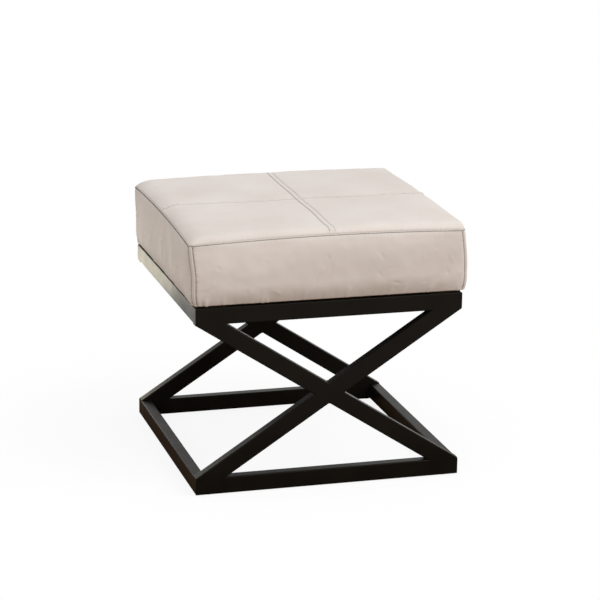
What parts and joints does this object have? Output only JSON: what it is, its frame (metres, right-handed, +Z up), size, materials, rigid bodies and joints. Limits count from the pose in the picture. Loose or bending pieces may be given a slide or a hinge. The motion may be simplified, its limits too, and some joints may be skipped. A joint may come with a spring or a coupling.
{
  "type": "upholstered stool",
  "caption": "Square stool with a box cushion on a welded frame of rectangular steel tube: two rings joined by a flat cross at the front and at the back, sides open.",
  "frame": {"origin": "centre of the square footprint, on the floor under the glides", "axes": "+Z up from the floor to the cushion; +Y from the front to the back, the crosses being at the front and back; +X to the right for someone looking at the front"},
  "size_m": [0.4902, 0.4902, 0.4675],
  "materials": {
    "frame_paint": "satin",
    "zinc_steel": "satin",
    "glide_nylon": "matte",
    "board_plywood": "matte",
    "dust_cloth": "matte",
    "seat_foam": "matte",
    "seat_wadding": "matte",
    "seat_cover": "satin"
  },
  "bodies": {
    "root": {"lower_front_rail": "frame_paint", "lower_right_rail": "frame_paint", "lower_back_rail": "frame_paint", "lower_left_rail": "frame_paint", "upper_front_rail": "frame_paint", "upper_right_rail": "frame_paint", "upper_back_rail": "frame_paint", "upper_left_rail": "frame_paint", "front_cross_long_bar": "frame_paint", "front_cross_upper_half_bar": "frame_paint", "front_cross_lower_half_bar": "frame_paint", "back_cross_long_bar": "frame_paint", "back_cross_upper_half_bar": "frame_paint", "back_cross_lower_half_bar": "frame_paint", "corner_plate_front_left": "frame_paint", "corner_plate_front_right": "frame_paint", "corner_plate_back_right": "frame_paint", "corner_plate_back_left": "frame_paint", "floor_glide_front_left": "glide_nylon", "floor_glide_front_right": "glide_nylon", "floor_glide_back_right": "glide_nylon", "floor_glide_back_left": "glide_nylon", "seat_washer_front_left": "zinc_steel", "seat_washer_front_right": "zinc_steel", "seat_washer_back_right": "zinc_steel", "seat_washer_back_left": "zinc_steel", "seat_screw_front_left": "zinc_steel", "seat_screw_front_right": "zinc_steel", "seat_screw_back_right": "zinc_steel", "seat_screw_back_left": "zinc_steel", "tee_nut_front_left": "zinc_steel", "tee_nut_front_right": "zinc_steel", "tee_nut_back_right": "zinc_steel", "tee_nut_back_left": "zinc_steel", "seat_board": "board_plywood", "dust_cloth": "dust_cloth", "foam_block": "seat_foam", "wadding_wrap": "seat_wadding", "cover_side_front": "seat_cover", "cover_side_right": "seat_cover", "cover_side_back": "seat_cover", "cover_side_left": "seat_cover", "cover_top_front_left": "seat_cover", "cover_top_front_right": "seat_cover", "cover_top_back_right": "seat_cover", "cover_top_back_left": "seat_cover"}
  },
  "joints": []
}
